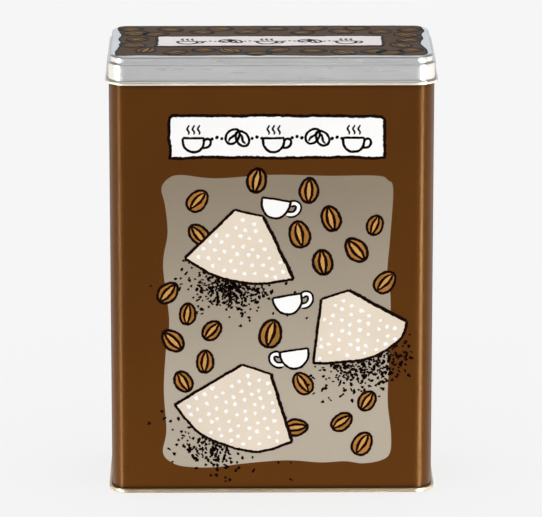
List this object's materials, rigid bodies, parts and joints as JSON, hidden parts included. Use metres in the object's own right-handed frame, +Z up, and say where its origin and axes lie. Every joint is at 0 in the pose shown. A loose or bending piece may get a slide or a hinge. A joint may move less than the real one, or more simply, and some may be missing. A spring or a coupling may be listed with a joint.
{
  "type": "slip-lid storage tin",
  "caption": "Upright rectangular tin with rounded corners, a printed wall, a stepped slip lid with a curled edge and a rolled seam at the foot, for keeping paper coffee filters.",
  "frame": {"origin": "middle of the foot, on the surface the tin stands on", "axes": "+Z up through the lid, -Y out of the printed front, +X to the right of someone facing the front"},
  "size_m": [0.1432, 0.0682, 0.195],
  "materials": {
    "wall_print": "dark brown lithographed ink under satin varnish",
    "tinplate": "bare satin tinplate",
    "lid_tinplate": "bare tinplate with a faint horizontal grain, varnished",
    "taupe_print": "grey-brown printed panel under satin varnish",
    "white_print": "white printed ground under satin varnish",
    "cream_print": "cream printed ground under satin varnish",
    "bean_print": "orange-brown print under satin varnish",
    "black_print": "black printed line work under satin varnish"
  },
  "bodies": {
    "tin": {"body_wall": "wall_print", "base_panel": "tinplate"},
    "lid": {"slip_lid": "lid_tinplate"}
  },
  "joints": [
    {"name": "lid_lift", "type": "slide", "parent": "tin", "child": "lid", "axis": [0, 0, 1], "range_m": [0, 0.02]}
  ]
}
